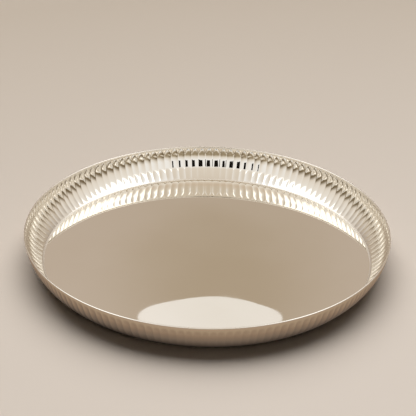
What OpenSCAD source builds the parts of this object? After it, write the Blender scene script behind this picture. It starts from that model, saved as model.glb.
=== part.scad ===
// Thali plate: a shallow round dish pressed from one sheet of metal, with fine upright ribs on its flaring
// wall, and a drawn wire with a groove underneath, seated over the edge of the sheet and soldered as its rim.
// Millimetres, +Z up. The origin is the centre of the underside, the face that the plate stands on.

/* [Plate] */
// Diameter over the rim wire
plate_d = 300; // [240:1:360]
// Height from the table to the top of the rim wire
plate_h = 26.2; // [20:0.1:36]
// Thickness of the sheet
sheet_t = 0.6; // [0.5:0.1:0.8]

/* [Wall] */
// Inside radius of the bend from the floor into the wall
bend_r = 3; // [0.5:0.5:10]
// Slope of the wall where it leaves the bend, in degrees from level
foot_angle = 40; // [30:1:55]
// Slope of the wall at its top, under the rim wire, in degrees from level
top_angle = 82; // [65:1:88]

/* [Ribs] */
// Number of ribs round the wall
rib_count = 150; // [60:1:180]
// How far a rib would stand into the dish at the top of the wall, having grown evenly from the bend
rib_h = 0.8; // [0.3:0.05:1]
// Height of the plain band between the ribs and the rim wire
band_h = 0.6; // [0.3:0.1:4]
// Height of the rounded end of a rib, from the valley beside it to the top of its crest
rib_end_h = 7; // [2:0.5:10]
// Height of the shoulder, in which the end of a rib falls back to the plain wall
shoulder_h = 1; // [0.5:0.1:2]

/* [Rim wire] */
// Diameter of the rim wire
wire_d = 1.3; // [1.2:0.1:4]
// Clearance for solder between the edge of the sheet and the groove in the wire
seat_gap = 0.05; // [0.02:0.01:0.1]

/* [Hidden] */

// The grid that the sheet is drawn on: one step for the valley beside each rib and one for its crest
steps_per_rib = 2;
azimuth_steps = rib_count * steps_per_rib;
bend_steps = 2;
wall_steps = 4;
wire_sides = 48;

// Heights of the inner face of the sheet, from the floor up to the edge inside the rim wire
wire_z = plate_h - wire_d / 2;
wall_top_z = plate_h - wire_d;
rib_top_z = wall_top_z - band_h;
bend_top_z = sheet_t + bend_r * (1 - cos(foot_angle));

// Radii of the inner face of the sheet, from the rim wire in to the flat floor
wire_r = (plate_d - wire_d) / 2;
edge_r = wire_r - sheet_t / 2;
wall_r = (wall_top_z - bend_top_z) / (cos(foot_angle) - cos(top_angle));
wall_foot_r = edge_r - wall_r * (sin(top_angle) - sin(foot_angle));
floor_r = wall_foot_r - bend_r * sin(foot_angle);

// Centres of the bend and of the wall, seen in section
bend_centre = [floor_r, sheet_t + bend_r];
wall_centre = [wall_foot_r, bend_top_z] - wall_r * outward(foot_angle);

groove_w = sheet_t + 2 * seat_gap;

// Direction out of the dish through a sheet of this slope, seen in section
function outward(slope) = [sin(slope), -cos(slope)];

// A station on the sheet, seen in section: a point of the plain inner face, the slope there, and how far
// the crest of a rib stands into the dish
function bend_station(slope) = [bend_centre + bend_r * outward(slope), slope, 0];
function wall_station(z, rise) =
    let (slope = acos((wall_centre[1] - z) / wall_r))
    [wall_centre + wall_r * outward(slope), slope, rise];

// Stations up the sheet, from the floor to its edge in the rim wire. The rib ends at this height, and grows
// evenly, as if to this rise at the top of the wall.
function stations(rib_end_z, full_rise) =
    let (
        body_h = rib_end_z - shoulder_h - bend_top_z,
        growth = full_rise / (wall_top_z - bend_top_z)
    )
    concat(
        [for (i = [0 : bend_steps]) bend_station(foot_angle * i / bend_steps)],
        [
            for (i = [1 : wall_steps])
            let (climb = body_h * i / wall_steps)
            wall_station(bend_top_z + climb, growth * climb)
        ],
        [wall_station(rib_end_z, 0), wall_station(wall_top_z, 0), [[edge_r, wire_z], 90, 0]]
    );
valley_stations = stations(rib_top_z - rib_end_h, 0);
crest_stations = stations(rib_top_z, rib_h);
last_station = len(crest_stations) - 1;

// Point on one face of the sheet: depth 0 is the inner face and depth sheet_t the outer face
function sheet_point(index, depth, step) =
    let (
        station = step % steps_per_rib == 0 ? valley_stations[index] : crest_stations[index],
        section = station[0] + (depth - station[2]) * outward(station[1]),
        azimuth = 360 * step / azimuth_steps
    )
    [section[0] * cos(azimuth), section[0] * sin(azimuth), section[1]];

function ring(index, depth) =
    [for (step = [0 : azimuth_steps - 1]) sheet_point(index, depth, step)];

// Two triangles between neighbouring rings. The diagonals run up from a valley to a crest on both faces.
function grid_cell(lower, step) =
    let (
        next = (step + 1) % azimuth_steps,
        a = lower * azimuth_steps + step,
        b = lower * azimuth_steps + next,
        c = b + azimuth_steps,
        d = a + azimuth_steps,
        from_valley = step % steps_per_rib == 0,
        inner_face = lower < last_station
    )
    from_valley == inner_face ? [[a, b, c], [a, c, d]] : [[a, b, d], [b, c, d]];

// The pressed sheet: the floor, the bend, the ribbed wall and the upright edge, all of one thickness
module dish() {
    inner_rings = [for (i = [0 : last_station]) ring(i, 0)];
    outer_rings = [for (i = [last_station : -1 : 0]) ring(i, sheet_t)];
    rings = concat(inner_rings, outer_rings);
    last_ring = len(rings) - 1;
    points = [for (each_ring = rings) each each_ring];
    floor_top = [for (step = [azimuth_steps - 1 : -1 : 0]) step];
    floor_underside = [for (step = [0 : azimuth_steps - 1]) last_ring * azimuth_steps + step];
    sides = [
        for (lower = [0 : last_ring - 1])
        for (step = [0 : azimuth_steps - 1])
        each grid_cell(lower, step)
    ];
    color("#d6cbbb")
    polyhedron(points, concat([floor_top, floor_underside], sides));
}

// The rim: a round wire whose groove takes the edge of the sheet up to the middle of the wire
module rim_wire() {
    color("#efe8dc")
    rotate_extrude($fn = azimuth_steps)
    translate([wire_r, wire_z])
    difference() {
        circle(d = wire_d, $fn = wire_sides);
        translate([-groove_w / 2, -wire_d]) square([groove_w, wire_d + seat_gap]);
    }
}

dish();
rim_wire();
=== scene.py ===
# Thali plate: a pressed, ribbed and polished metal dish with a wire rim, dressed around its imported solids.
from math import acos, atan2, cos, hypot, pi, radians, sin, tau

import bmesh
import bpy
from mathutils import Euler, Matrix, Quaternion, Vector, noise


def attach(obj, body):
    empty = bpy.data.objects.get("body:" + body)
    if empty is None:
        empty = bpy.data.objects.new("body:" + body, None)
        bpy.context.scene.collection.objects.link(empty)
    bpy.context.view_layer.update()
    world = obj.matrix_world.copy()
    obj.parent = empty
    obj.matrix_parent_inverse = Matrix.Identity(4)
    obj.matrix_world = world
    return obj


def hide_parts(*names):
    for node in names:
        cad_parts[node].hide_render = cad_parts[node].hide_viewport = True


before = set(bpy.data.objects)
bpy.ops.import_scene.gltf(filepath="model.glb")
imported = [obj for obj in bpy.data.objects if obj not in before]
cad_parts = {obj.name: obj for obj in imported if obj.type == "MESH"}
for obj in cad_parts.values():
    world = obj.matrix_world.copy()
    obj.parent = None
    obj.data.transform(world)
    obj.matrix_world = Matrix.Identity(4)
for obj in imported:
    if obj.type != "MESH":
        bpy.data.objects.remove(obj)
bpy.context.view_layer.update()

# The pressed sheet. A round blank of silver-plated sheet is pressed in a die into a flat floor, a bend and
# a flaring wall with fine upright ribs, which end in small domes under a plain band. Then it is buffed to
# a mirror.
MM = 0.001
PLATE_RADIUS = 150 * MM
PLATE_HEIGHT = 26.2 * MM
SHEET = 0.6 * MM
WIRE = 1.3 * MM
BEND_RADIUS = 3 * MM
FOOT_SLOPE = radians(40)
TOP_SLOPE = radians(82)
BAND = 0.6 * MM
CREASE = 0.3 * MM
WELD = 0.001 * MM

# The ribs, as if they went on to the top of the wall. They stay low up most of it and rise near their ends.
RIBS = 150
RIB_HEIGHT = 1.2 * MM
RIB_FOOT_SHARE = 0.23
RIB_GROWTH = 4
RIB_START = 2 * MM
RIB_END = 7 * MM
DOME_CURVE = 1.6
DOME_FULLNESS = 0.4

# No two ribs are quite alike. They differ in height and in the length of their ends, and stray sideways.
RIB_SPREAD = 0.15
RIB_PACE = 0.71
END_SPREAD = 0.6 * MM
WANDER = 0.15
WANDER_PACE = 20

wire_radius = PLATE_RADIUS - WIRE / 2
wire_height = PLATE_HEIGHT - WIRE / 2
edge_radius = wire_radius - SHEET / 2
wall_top = PLATE_HEIGHT - WIRE
rib_top = wall_top - BAND
valley_top = rib_top - RIB_END
bend_top = SHEET + BEND_RADIUS * (1 - cos(FOOT_SLOPE))
wall_curve = (wall_top - bend_top) / (cos(FOOT_SLOPE) - cos(TOP_SLOPE))
wall_foot = edge_radius - wall_curve * (sin(TOP_SLOPE) - sin(FOOT_SLOPE))
floor_radius = wall_foot - BEND_RADIUS * sin(FOOT_SLOPE)
wall_centre = (wall_foot - wall_curve * sin(FOOT_SLOPE), bend_top + wall_curve * cos(FOOT_SLOPE))
ends_slope = acos((wall_centre[1] - valley_top) / wall_curve)

STEPS_PER_RIB = 12
INNER_RINGS = {"floor": 8, "bend": 4, "body": 6, "ends": 18}
OUTER_RINGS = {"floor": 1, "bend": 2, "body": 4, "ends": 6}


def arc(centre, radius, first_slope, last_slope, steps):
    """Points of a section that curves from one slope to another, the first left out."""
    slopes = [first_slope + (last_slope - first_slope) * i / steps for i in range(1, steps + 1)]
    return [(centre[0] + radius * sin(slope), centre[1] - radius * cos(slope)) for slope in slopes]


def face_of_sheet(depth, rings):
    """Section of one face of the sheet, from the axis out to the edge: depth 0 is the inner face."""
    buffed = floor_radius - CREASE
    floor = [(buffed * i / rings["floor"], SHEET - depth) for i in range(rings["floor"] + 1)]
    floor.append((floor_radius, SHEET - depth))
    bend_centre = (floor_radius, SHEET + BEND_RADIUS)
    bend = arc(bend_centre, BEND_RADIUS + depth, 0, FOOT_SLOPE, rings["bend"])
    body = arc(wall_centre, wall_curve + depth, FOOT_SLOPE, ends_slope, rings["body"])
    ends = arc(wall_centre, wall_curve + depth, ends_slope, TOP_SLOPE, rings["ends"])
    edge = [(edge_radius + depth, wire_height)]
    return floor + bend + body + ends + edge


def spin_section(section, angle, steps):
    """A bmesh with a section, given as radius and height, turned about the plate's axis."""
    made = bmesh.new()
    corners = [made.verts.new((radius, 0, height)) for radius, height in section]
    lines = [made.edges.new(pair) for pair in zip(corners, corners[1:])]
    bmesh.ops.spin(made, geom=corners + lines, axis=(0, 0, 1), cent=(0, 0, 0), angle=angle, steps=steps)
    return made


def spin_copies(made, copies):
    """Repeats a slice of the plate all the way round and joins the slices."""
    whole = made.verts[:] + made.edges[:] + made.faces[:]
    turn = tau * (copies - 1) / copies
    bmesh.ops.spin(
        made, geom=whole, axis=(0, 0, 1), cent=(0, 0, 0), angle=turn, steps=copies - 1, use_duplicate=True
    )
    bmesh.ops.remove_doubles(made, verts=made.verts, dist=WELD)
    bmesh.ops.recalc_face_normals(made, faces=made.faces)


def smooth_step(share):
    """A share from 0 to 1 that starts and ends without a kink."""
    share = max(0, min(1, share))
    return share * share * (3 - 2 * share)


def press_rib(height, azimuth, inside):
    """How far the die presses a face of the sheet into the dish. Rib ends are blunter outside."""
    wander = noise.noise(WANDER_PACE * Vector((cos(azimuth), sin(azimuth), 0)))
    turns = azimuth / tau * RIBS + WANDER * wander
    across = 2 * (turns % 1) - 1
    unevenness = noise.noise(Vector((turns // 1 * RIB_PACE, 0.5, 0)))
    climb = (height - bend_top) / (wall_top - bend_top)
    growth = RIB_FOOT_SHARE + (1 - RIB_FOOT_SHARE) * climb**RIB_GROWTH
    growth *= smooth_step((height - bend_top) / RIB_START)
    along = max(0, height - valley_top) / (RIB_END + END_SPREAD * unevenness)
    crown = 1 - across**2
    if inside:
        crown = max(0, crown - along**DOME_CURVE) ** (1 - DOME_FULLNESS * smooth_step(2 * along))
    else:
        crown *= 1 - smooth_step(along)
    return RIB_HEIGHT * (1 + RIB_SPREAD * unevenness) * growth * crown


def finish_piece(name, made, material, node):
    """The bmesh as a smooth piece of the plate that stands for a solid."""
    mesh = bpy.data.meshes.new(name)
    made.to_mesh(mesh)
    made.free()
    mesh.polygons.foreach_set("use_smooth", [True] * len(mesh.polygons))
    mesh.materials.append(material)
    piece = bpy.data.objects.new(name, mesh)
    bpy.context.scene.collection.objects.link(piece)
    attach(piece, "root")
    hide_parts(node)


def linear(hex_colour):
    """An sRGB hex colour as linear red, green, blue and a full alpha."""
    shares = [int(hex_colour[i : i + 2], 16) / 255 for i in (1, 3, 5)]
    return [s / 12.92 if s <= 0.04045 else ((s + 0.055) / 1.055) ** 2.4 for s in shares] + [1]


def add_node(tree, kind, settings=None, ordered=(), **named):
    """A node with its settings. Its inputs, in order or by name, take a value or a link from an output."""
    made = tree.nodes.new(kind)
    for key, value in (settings or {}).items():
        setattr(made, key, value)
    inputs = list(zip(made.inputs, ordered))
    inputs += [(made.inputs[key.replace("_", " ")], value) for key, value in named.items()]
    for socket, value in inputs:
        if isinstance(value, bpy.types.NodeSocket):
            tree.links.new(value, socket)
        else:
            socket.default_value = value
    return made


def new_material(name):
    """An empty node material and its node tree."""
    material = bpy.data.materials.new(name)
    material.use_nodes = True
    material.node_tree.nodes.clear()
    return material, material.node_tree


# Silver plate that was buffed on a turning wheel: a warm white mirror. The eye sees faint rings that the
# buff left, soft patches where handling has dulled it a little, and a duller bend, which the wheel reaches
# less. Real buffing lines are finer than a pixel, so the rings are drawn 2.5 mm apart to show.
BUFF_RING = 2.5 * MM
BUFF_DEPTH = 0.0002 * MM
DULL_PATCH = 45 * MM
PATCH_STARTS = 0.4
PATCH_FULL = 0.7
BEND_ROUGHNESS = 0.3


def buffed_silver(name, bright, dulled, clear_roughness, dull_roughness):
    """Buffed silver plate, from bright to dulled. Where the attribute dull is 1, it is less buffed."""
    material, tree = new_material(name)
    place = add_node(tree, "ShaderNodeTexCoord").outputs["Object"]
    level = add_node(tree, "ShaderNodeMapping", Vector=place, Scale=(1, 1, 0))
    radius = add_node(tree, "ShaderNodeVectorMath", {"operation": "LENGTH"}, Vector=level.outputs["Vector"])
    height = add_node(tree, "ShaderNodeSeparateXYZ", Vector=place)
    ring = add_node(tree, "ShaderNodeCombineXYZ", X=radius.outputs["Value"], Y=height.outputs["Z"])
    buffing = add_node(
        tree,
        "ShaderNodeTexNoise",
        {"noise_dimensions": "2D"},
        Vector=ring.outputs["Vector"],
        Scale=1 / BUFF_RING,
        Detail=3.0,
    )
    patches = add_node(tree, "ShaderNodeTexNoise", Vector=place, Scale=1 / DULL_PATCH, Detail=3.0)
    tone = add_node(
        tree,
        "ShaderNodeMix",
        {"data_type": "RGBA"},
        Factor=patches.outputs["Fac"],
        A=linear(bright),
        B=linear(dulled),
    )
    dulling = add_node(
        tree,
        "ShaderNodeMapRange",
        Value=patches.outputs["Fac"],
        From_Min=PATCH_STARTS,
        From_Max=PATCH_FULL,
        To_Min=clear_roughness,
        To_Max=dull_roughness,
    )
    less_buffed = add_node(tree, "ShaderNodeAttribute", {"attribute_name": "dull"})
    roughness = add_node(
        tree,
        "ShaderNodeMix",
        Factor=less_buffed.outputs["Fac"],
        A=dulling.outputs["Result"],
        B=BEND_ROUGHNESS,
    )
    relief = add_node(tree, "ShaderNodeBump", Height=buffing.outputs["Fac"], Distance=BUFF_DEPTH)
    shader = add_node(
        tree,
        "ShaderNodeBsdfPrincipled",
        Base_Color=tone.outputs["Result"],
        Metallic=1.0,
        Roughness=roughness.outputs["Result"],
        Normal=relief.outputs["Normal"],
    )
    add_node(tree, "ShaderNodeOutputMaterial", Surface=shader.outputs["BSDF"])
    return material


# The die presses the ribs into the wall, the bend is marked as dull, and the floor springs into slow waves.
WAVE_DEPTH = 0.16 * MM
WAVE_LENGTH = 60 * MM
sheet_section = face_of_sheet(0, INNER_RINGS) + face_of_sheet(SHEET, OUTER_RINGS)[::-1]
sheet = spin_section(sheet_section, tau / RIBS, STEPS_PER_RIB)
spin_copies(sheet, RIBS)
dull = sheet.verts.layers.float.new("dull")
for vert in sheet.verts:
    radius = hypot(vert.co.x, vert.co.y)
    azimuth = atan2(vert.co.y, vert.co.x)
    slope = atan2(radius - wall_centre[0], wall_centre[1] - vert.co.z)
    if slope > FOOT_SLOPE:
        inside = hypot(radius - wall_centre[0], wall_centre[1] - vert.co.z) < wall_curve + SHEET / 2
        rise = press_rib(wall_centre[1] - wall_curve * cos(slope), azimuth, inside)
        vert.co -= rise * Vector((sin(slope) * cos(azimuth), sin(slope) * sin(azimuth), -cos(slope)))
    elif radius > floor_radius - CREASE / 2:
        vert[dull] = 1
    elif vert.co.z > SHEET / 2:
        calm = smooth_step((floor_radius - radius) / WAVE_LENGTH)
        vert.co.z += WAVE_DEPTH * calm * noise.noise(Vector((vert.co.x, vert.co.y, 0)) / WAVE_LENGTH)
silver_sheet = buffed_silver(
    "buffed_silver_plate_on_sheet", "#F0ECE4", "#ECE6DC", clear_roughness=0.012, dull_roughness=0.04
)
finish_piece("dish_sheet", sheet, silver_sheet, "dish")

# The rim. A round drawn wire of the same metal, with a groove milled in its underside, is set over the edge
# of the sheet, soldered and buffed, so the edge that is held in the hand is smooth.
SEAT_GAP = 0.05 * MM
WIRE_SIDES = 32
WIRE_STEPS = 4

groove_half = SHEET / 2 + SEAT_GAP
groove_angle = atan2(groove_half, ((WIRE / 2) ** 2 - groove_half**2) ** 0.5)
wire_section = arc((wire_radius, wire_height), WIRE / 2, groove_angle, tau - groove_angle, WIRE_SIDES)
groove = [
    (wire_radius - groove_half, wire_height + SEAT_GAP),
    (wire_radius + groove_half, wire_height + SEAT_GAP),
    (wire_radius + groove_half, wire_height - WIRE / 2 * cos(groove_angle)),
]
wire = spin_section(wire_section + groove + wire_section[:1], tau / RIBS, WIRE_STEPS)
spin_copies(wire, RIBS)
silver_wire = buffed_silver(
    "buffed_silver_plate_on_wire", "#F2EEE7", "#EDE7DD", clear_roughness=0.18, dull_roughness=0.3
)
finish_piece("rim_bead", wire, silver_wire, "rim_wire")

# The table. A plain board with matt beige paint that the plate stands on: the eye sees a pale tone with no
# gloss, with a painted pool of light that makes it palest to the front right. In the mirror of the plate the
# board doesn't show its lit paint but glowing rings of a painted shade, darkest under the bend.
TABLE_HALF = 6.0
# The painted pool of light: the spot where it is palest, how it is squeezed across, and how far it reaches.
PAINTED_LIGHT_SPOT = (0.5, -0.35)
PAINTED_LIGHT_SQUEEZE = 0.62
PAINTED_LIGHT_REACH_SQUARED = 0.9
SHADE_SHIFT = 2 * MM
SHADE_STARTS = 134 * MM
SHADE_ENDS = 254 * MM


def set_colours(ramp, steps):
    """Gives a colour ramp its steps, each a position from 0 to 1 and an sRGB colour."""
    stops = ramp.color_ramp.elements
    while len(stops) < len(steps):
        stops.new(0.5)
    for stop, (position, colour) in zip(stops, steps):
        stop.position = position
        stop.color = linear(colour)


matt_board, board = new_material("matt_beige_board")
board_place = add_node(board, "ShaderNodeTexCoord").outputs["Object"]
# Painted light: the board's colour is mixed paler towards a spot at the front right, as a pool of light.
painted_light_place = add_node(
    board,
    "ShaderNodeMapping",
    Vector=board_place,
    Location=(-PAINTED_LIGHT_SQUEEZE * PAINTED_LIGHT_SPOT[0], -PAINTED_LIGHT_SPOT[1], 0),
    Scale=(PAINTED_LIGHT_SQUEEZE, 1, 0),
).outputs["Vector"]
painted_light_reach = add_node(board, "ShaderNodeVectorMath", {"operation": "DOT_PRODUCT"}, (painted_light_place, painted_light_place))
painted_light_share = add_node(
    board,
    "ShaderNodeMapRange",
    Value=painted_light_reach.outputs["Value"],
    From_Min=0.0,
    From_Max=PAINTED_LIGHT_REACH_SQUARED,
)
paint_and_painted_light = add_node(
    board,
    "ShaderNodeMix",
    {"data_type": "RGBA"},
    Factor=painted_light_share.outputs["Result"],
    A=linear("#DCD0C4"),
    B=linear("#C4B6A6"),
)
painted = add_node(
    board,
    "ShaderNodeBsdfPrincipled",
    Base_Color=paint_and_painted_light.outputs["Result"],
    Roughness=0.9,
    Specular_IOR_Level=0.2,
)
shade_place = add_node(
    board, "ShaderNodeMapping", Vector=board_place, Location=(SHADE_SHIFT, 0, 0), Scale=(1, 1, 0)
)
shade_radius = add_node(
    board, "ShaderNodeVectorMath", {"operation": "LENGTH"}, Vector=shade_place.outputs["Vector"]
)
shade_share = add_node(
    board,
    "ShaderNodeMapRange",
    Value=shade_radius.outputs["Value"],
    From_Min=SHADE_STARTS,
    From_Max=SHADE_ENDS,
)
shade = add_node(board, "ShaderNodeValToRGB", Fac=shade_share.outputs["Result"])
set_colours(
    shade,
    (
        (0, "#1A1613"),
        (0.08, "#75665A"),
        (0.15, "#957F6C"),
        (0.23, "#AC9780"),
        (0.4, "#B7A08A"),
        (1, "#D2C5B8"),
    ),
)
mirrored_shade = add_node(board, "ShaderNodeEmission", Color=shade.outputs["Color"])
board_ray = add_node(board, "ShaderNodeLightPath")
in_mirror = add_node(
    board,
    "ShaderNodeMath",
    {"operation": "GREATER_THAN"},
    (board_ray.outputs["Is Glossy Ray"], board_ray.outputs["Diffuse Depth"]),
)
board_seen = add_node(
    board,
    "ShaderNodeMixShader",
    ordered=(in_mirror.outputs["Value"], painted.outputs["BSDF"], mirrored_shade.outputs["Emission"]),
)
add_node(board, "ShaderNodeOutputMaterial", Surface=board_seen.outputs["Shader"])


def flat_card(name, half, material):
    """A flat card with half its width and half its height given, linked into the scene."""
    shape = bmesh.new()
    bmesh.ops.create_grid(shape, x_segments=1, y_segments=1, size=1)
    bmesh.ops.scale(shape, verts=shape.verts, vec=(*half, 1))
    mesh = bpy.data.meshes.new(name)
    shape.to_mesh(mesh)
    shape.free()
    mesh.materials.append(material)
    card = bpy.data.objects.new(name, mesh)
    bpy.context.scene.collection.objects.link(card)
    return card


table = flat_card("table_top", (TABLE_HALF, TABLE_HALF), matt_board)

# The room, which the plate mirrors and which hardly lights the table: pale walls over a dark low horizon,
# taupe behind, with a white panel at either side. The colours of a wall go by elevation in degrees. The
# walls meet by heading, which is 1 straight behind the plate and -1 straight in front of it.
BACK_STARTS = 0.2
BACK_FULL = 1.0
FRONT_STARTS = -0.55
FRONT_FULL = -1.0
world = bpy.data.worlds.new("pale_room")
bpy.context.scene.world = world
world.use_nodes = True
room = world.node_tree
room.nodes.clear()
gaze = add_node(room, "ShaderNodeTexCoord").outputs["Generated"]
rise_of_gaze = add_node(room, "ShaderNodeSeparateXYZ", Vector=gaze).outputs["Z"]
level_gaze = add_node(room, "ShaderNodeMapping", Vector=gaze, Scale=(1, 1, 0))
compass = add_node(
    room, "ShaderNodeVectorMath", {"operation": "NORMALIZE"}, Vector=level_gaze.outputs["Vector"]
)
heading = add_node(room, "ShaderNodeSeparateXYZ", Vector=compass.outputs["Vector"]).outputs["Y"]


def wall_of_room(*steps):
    """The colours of a wall of the room, by elevation in degrees, from the table up."""
    ramp = add_node(room, "ShaderNodeValToRGB", Fac=rise_of_gaze)
    set_colours(ramp, [(sin(radians(elevation)), colour) for elevation, colour in steps])
    return ramp.outputs["Color"]


front_wall = wall_of_room(
    (0, "#A2937A"),
    (4, "#A2937A"),
    (9, "#E6DDCF"),
    (18, "#FFFFFF"),
    (36, "#FFFFFF"),
    (43, "#E9E0D4"),
    (90, "#E0D6C9"),
)
side_wall = wall_of_room(
    (0, "#7E6F58"),
    (7, "#7E6F58"),
    (14, "#E6DDD1"),
    (20, "#F0E9E0"),
    (32, "#F6F1EA"),
    (44, "#FFFFFF"),
    (66, "#FFFFFF"),
    (78, "#EDE3D8"),
    (90, "#E1D3C4"),
)
back_wall = wall_of_room(
    (0, "#C4B5A2"),
    (14, "#B8A794"),
    (22, "#8A7868"),
    (25, "#8A7868"),
    (28.4, "#C4B5A6"),
    (38, "#CFC1B3"),
    (42, "#FFFBF5"),
    (66, "#FFFBF5"),
    (90, "#E1D3C4"),
)
panel = wall_of_room((0, "#000000"), (37, "#000000"), (43, "#FFFFFF"), (62, "#FFFFFF"), (70, "#000000"))
backness = add_node(room, "ShaderNodeMapRange", Value=heading, From_Min=BACK_STARTS, From_Max=BACK_FULL)
frontness = add_node(
    room,
    "ShaderNodeMapRange",
    {"interpolation_type": "SMOOTHSTEP"},
    Value=heading,
    From_Min=FRONT_STARTS,
    From_Max=FRONT_FULL,
)
rear_walls = add_node(
    room,
    "ShaderNodeMix",
    {"data_type": "RGBA"},
    Factor=backness.outputs["Result"],
    A=side_wall,
    B=back_wall,
)
bare_walls = add_node(
    room,
    "ShaderNodeMix",
    {"data_type": "RGBA"},
    Factor=frontness.outputs["Result"],
    A=rear_walls.outputs["Result"],
    B=front_wall,
)

# The front edge of a panel has its headings at LEAN_LEVEL. It leans back with the rise of the gaze, which
# is 0 at the table and 1 overhead, up to LEAN_TOP. The back edge is upright.
PANEL_FRONT_STARTS = -0.72
PANEL_FRONT_FULL = -0.64
PANEL_BACK_FULL = 0.55
PANEL_BACK_ENDS = 0.8
PANEL_LEAN = 3.2
LEAN_LEVEL = 0.68
LEAN_TOP = 0.74
lean_height = add_node(room, "ShaderNodeMath", {"operation": "MINIMUM"}, (rise_of_gaze, LEAN_TOP))
leaning = add_node(
    room,
    "ShaderNodeMath",
    {"operation": "MULTIPLY_ADD"},
    (lean_height.outputs["Value"], -PANEL_LEAN, heading),
)
past_front = add_node(
    room,
    "ShaderNodeMapRange",
    Value=leaning.outputs["Value"],
    From_Min=PANEL_FRONT_STARTS - PANEL_LEAN * LEAN_LEVEL,
    From_Max=PANEL_FRONT_FULL - PANEL_LEAN * LEAN_LEVEL,
)
before_back = add_node(
    room, "ShaderNodeMapRange", Value=heading, From_Min=PANEL_BACK_ENDS, From_Max=PANEL_BACK_FULL
)
on_panel = add_node(
    room,
    "ShaderNodeMath",
    {"operation": "MULTIPLY"},
    (past_front.outputs["Result"], before_back.outputs["Result"]),
)
walls = add_node(
    room,
    "ShaderNodeMix",
    {"data_type": "RGBA", "blend_type": "ADD"},
    Factor=on_panel.outputs["Value"],
    A=bare_walls.outputs["Result"],
    B=panel,
)

# A small dim spot behind the plate makes the middle of its floor a little darker.
DIM_SPOT_FULL = 0.01
DIM_SPOT_CLEAR = 0.075


def direction(azimuth, elevation):
    """Unit vector from the plate, with azimuth turned from the front towards the right, in degrees."""
    turn = radians(azimuth)
    lift = radians(elevation)
    return Vector((sin(turn) * cos(lift), -cos(turn) * cos(lift), sin(lift)))


dim_way = direction(azimuth=179.4, elevation=31.3)
dim_spot = add_node(room, "ShaderNodeVectorMath", {"operation": "DISTANCE"}, (gaze, dim_way))
clearness = add_node(
    room,
    "ShaderNodeMapRange",
    {"interpolation_type": "SMOOTHSTEP"},
    Value=dim_spot.outputs["Value"],
    From_Min=DIM_SPOT_FULL,
    From_Max=DIM_SPOT_CLEAR,
)
view = add_node(
    room,
    "ShaderNodeMix",
    {"data_type": "RGBA"},
    Factor=clearness.outputs["Result"],
    A=linear("#B8A893"),
    B=walls.outputs["Result"],
)

# The eye and the plate's mirror see the room at its full strength. Matt things get little light from it.
ROOM_ON_MATT_THINGS = 0.02
ray = add_node(room, "ShaderNodeLightPath")
looked_at = add_node(
    room,
    "ShaderNodeMath",
    {"operation": "MAXIMUM"},
    (ray.outputs["Is Camera Ray"], ray.outputs["Is Glossy Ray"]),
)
directly = add_node(
    room,
    "ShaderNodeMath",
    {"operation": "GREATER_THAN"},
    (looked_at.outputs["Value"], ray.outputs["Diffuse Depth"]),
)
strength = add_node(
    room,
    "ShaderNodeMapRange",
    Value=directly.outputs["Value"],
    To_Min=ROOM_ON_MATT_THINGS,
    To_Max=1.0,
)
backdrop = add_node(
    room, "ShaderNodeBackground", Color=view.outputs["Result"], Strength=strength.outputs["Result"]
)
add_node(room, "ShaderNodeOutputWorld", Surface=backdrop.outputs["Background"])

# The skylight. A broad soft light from high behind lights the table and throws the plate's shadow forwards.
# The plate doesn't mirror it.
sky = bpy.data.lights.new("skylight_behind", "SUN")
sky.energy = 3.68
sky.angle = radians(70)
skylight = bpy.data.objects.new("skylight_behind", sky)
to_sky = direction(azimuth=180, elevation=54)
skylight.rotation_euler = (-to_sky).to_track_quat("-Z", "Y").to_euler()
skylight.visible_glossy = False
bpy.context.scene.collection.objects.link(skylight)

# The lamp. A small oval lamp low behind, which shows only in the plate's mirror, as the pale patch at the
# front of the floor. It doesn't light the table.
LAMP_WIDTH = 0.225
LAMP_HEIGHT = 0.07
LAMP_DISTANCE = 1.5
LAMP_BRIGHTNESS = 0.54
LIT_PATCH = Vector((6 * MM, -84 * MM, 0))
oval = bpy.data.lights.new("lamp_low_behind", "AREA")
oval.shape = "ELLIPSE"
oval.size = LAMP_WIDTH
oval.size_y = LAMP_HEIGHT
oval.energy = LAMP_BRIGHTNESS * pi * (pi / 4 * LAMP_WIDTH * LAMP_HEIGHT)
oval.color = linear("#E9F4FF")[:3]
lamp = bpy.data.objects.new("lamp_low_behind", oval)
to_lamp = direction(azimuth=180, elevation=32.5)
lamp.location = LIT_PATCH + to_lamp * LAMP_DISTANCE
lamp.rotation_euler = (-to_lamp).to_track_quat("-Z", "Y").to_euler()
lamp.visible_camera = False
lamp.visible_diffuse = False
bpy.context.scene.collection.objects.link(lamp)

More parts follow.
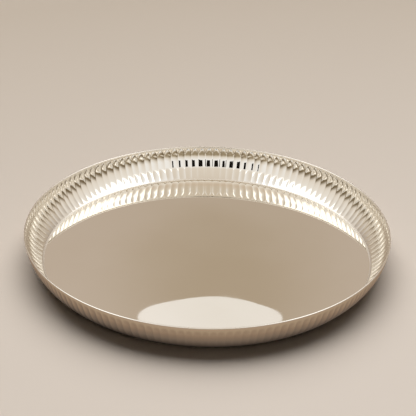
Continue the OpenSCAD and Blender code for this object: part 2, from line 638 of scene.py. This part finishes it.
# The dark front of a camera, hung with black cloth: the eye sees only black, as a row of black marks on the
# ribs of the far wall. The cloth is clear to rays under 2 m long, so that the floor, which is nearer to it,
# doesn't show it.
CLOTH_HALF = (0.36, 0.34)
CLOTH_DISTANCE = 1.9
CLOTH_SEEN_FROM = 2.0
black_cloth, cloth = new_material("black_studio_cloth")
woven = add_node(cloth, "ShaderNodeBsdfPrincipled", Base_Color=linear("#14110F"), Roughness=1.0)
clear = add_node(cloth, "ShaderNodeBsdfTransparent")
cloth_ray = add_node(cloth, "ShaderNodeLightPath")
far_off = add_node(
    cloth,
    "ShaderNodeMath",
    {"operation": "GREATER_THAN"},
    (cloth_ray.outputs["Ray Length"], CLOTH_SEEN_FROM),
)
cloth_seen = add_node(
    cloth,
    "ShaderNodeMixShader",
    ordered=(far_off.outputs["Value"], clear.outputs["BSDF"], woven.outputs["BSDF"]),
)
add_node(cloth, "ShaderNodeOutputMaterial", Surface=cloth_seen.outputs["Shader"])
camera_front = flat_card("camera_front", CLOTH_HALF, black_cloth)
camera_front.location = direction(azimuth=-4, elevation=31.5) * CLOTH_DISTANCE
camera_front.rotation_euler = (-camera_front.location).to_track_quat("-Z", "Y").to_euler()
camera_front.visible_camera = False
camera_front.visible_shadow = False
camera_front.visible_diffuse = False

# The camera. A long lens looks down from the front, a little tilted. It is fitted to the ellipse of the rim
# and to the line between the floor and the wall.
CAMERA_DISTANCE = 1.724
CAMERA_ELEVATION = 29.06
CAMERA_ROLL = 1.21
AIM_BEHIND_AXIS = 83.2 * MM
FOCAL_LENGTH = 173.1
camera = bpy.data.objects.new("camera", bpy.data.cameras.new("camera"))
camera.data.lens = FOCAL_LENGTH
aim = Vector((0, AIM_BEHIND_AXIS, SHEET))
camera.location = aim + direction(0, CAMERA_ELEVATION) * CAMERA_DISTANCE
level = Euler((radians(90 - CAMERA_ELEVATION), 0, 0)).to_quaternion()
camera.rotation_euler = (level @ Quaternion((0, 0, 1), radians(CAMERA_ROLL))).to_euler()
bpy.context.scene.collection.objects.link(camera)
bpy.context.scene.camera = camera
bpy.context.scene.view_settings.view_transform = "Standard"
